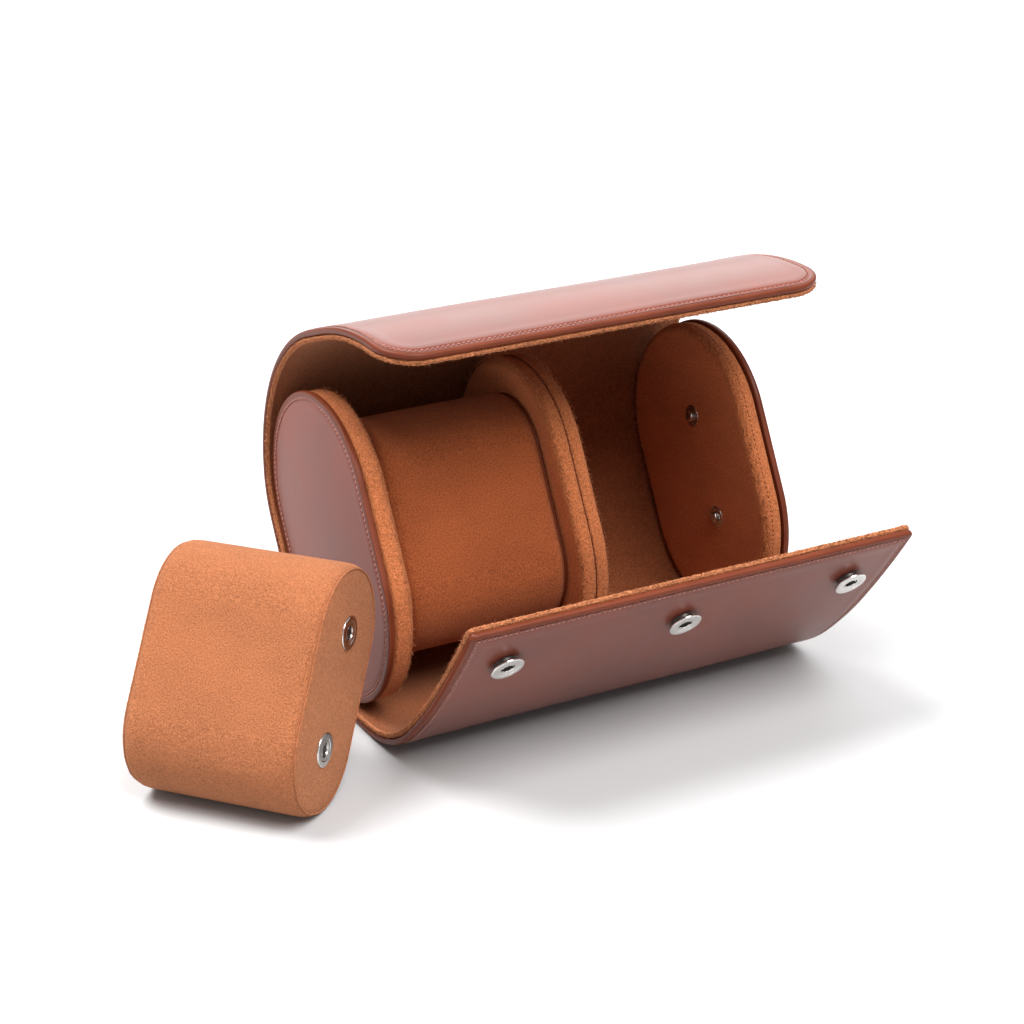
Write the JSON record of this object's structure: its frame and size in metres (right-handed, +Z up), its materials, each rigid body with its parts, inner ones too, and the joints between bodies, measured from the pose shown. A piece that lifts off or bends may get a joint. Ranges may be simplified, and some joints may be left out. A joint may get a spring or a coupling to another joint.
{
  "type": "two-slot watch travel case",
  "caption": "Soft roll-shaped leather watch case standing open, suede-lined with a divider and snap-in cushions; lid and flap fold and meet on snaps.",
  "frame": {"origin": "middle of the flat strip of the wrap that the case stands on, in the middle of the wrap's length", "axes": "+X to the right along the case, -Y to the front with the opening, +Z up"},
  "size_m": [0.2231, 0.1364, 0.1238],
  "materials": {
    "leather": "smooth semi-gloss mauve-brown leather",
    "suede": "napped tan suede",
    "board": "plain grey-brown board",
    "foam": "open soft filling",
    "snap": "polished dark chrome",
    "rivet": "plain brass",
    "wire": "bright spring wire"
  },
  "bodies": {
    "case": {"back_leather": "leather", "back_board": "board", "back_lining": "suede", "left_panel_disc": "leather", "left_panel_core": "board", "left_panel_suede": "suede", "left_panel_studs": "snap", "left_stud_rivets": "rivet", "right_panel_disc": "leather", "right_panel_core": "board", "right_panel_suede": "suede", "right_panel_studs": "snap", "right_stud_rivets": "rivet", "divider_left_suede": "suede", "divider_left_core": "board", "divider_right_suede": "suede", "divider_right_core": "board"},
    "lid_crown": {"lid_crown_leather": "leather", "lid_crown_board": "board", "lid_crown_lining": "suede"},
    "lid_front": {"lid_front_leather": "leather", "lid_front_board": "board", "lid_front_lining": "suede", "lid_studs": "snap", "lid_stud_rivets": "rivet"},
    "flap_base": {"flap_base_leather": "leather", "flap_base_board": "board", "flap_base_lining": "suede"},
    "flap_middle": {"flap_middle_leather": "leather", "flap_middle_board": "board", "flap_middle_lining": "suede"},
    "flap_front": {"flap_front_leather": "leather", "flap_front_board": "board", "flap_front_lining": "suede", "flap_sockets": "snap", "flap_socket_springs": "wire", "flap_socket_rivets": "rivet"},
    "left_cushion": {"left_cushion_cover": "suede", "left_cushion_foam": "foam", "left_cushion_end_board": "board", "left_cushion_sockets": "snap", "left_cushion_springs": "wire", "left_cushion_rivets": "rivet"},
    "loose_cushion": {"loose_cushion_cover": "suede", "loose_cushion_foam": "foam", "loose_cushion_end_board": "board", "loose_cushion_sockets": "snap", "loose_cushion_springs": "wire", "loose_cushion_rivets": "rivet"}
  },
  "joints": [
    {"name": "lid_crown_fold", "type": "hinge", "parent": "case", "child": "lid_crown", "pos_m": [0, 0.04932, 0.08798], "axis": [1, 0, 0], "range_deg": [0, 28.18]},
    {"name": "lid_front_fold", "type": "hinge", "parent": "lid_crown", "child": "lid_front", "pos_m": [0, 0.02334, 0.11088], "axis": [1, 0, 0], "range_deg": [0, 17]},
    {"name": "flap_base_fold", "type": "hinge", "parent": "case", "child": "flap_base", "pos_m": [0, -0.00925, 0.0038], "axis": [-1, 0, 0], "range_deg": [0, 27.75]},
    {"name": "flap_middle_fold", "type": "hinge", "parent": "flap_base", "child": "flap_middle", "pos_m": [0, -0.03455, 0.01351], "axis": [-1, 0, 0], "range_deg": [0, 11.07]},
    {"name": "flap_front_fold", "type": "hinge", "parent": "flap_middle", "child": "flap_front", "pos_m": [0, -0.0527, 0.03264], "axis": [-1, 0, 0], "range_deg": [0, 36.57]},
    {"name": "left_cushion_slide", "type": "slide", "parent": "case", "child": "left_cushion", "axis": [0, 0.8796, -0.4756], "range_m": [-0.05, 0]},
    {"name": "loose_cushion_lift", "type": "slide", "parent": "case", "child": "loose_cushion", "axis": [0, 0, 1], "range_m": [0, 0.08]}
  ],
  "couplings": [
    {"joint": "flap_middle_fold", "follows": "flap_base_fold", "ratio": 0.39856}
  ]
}
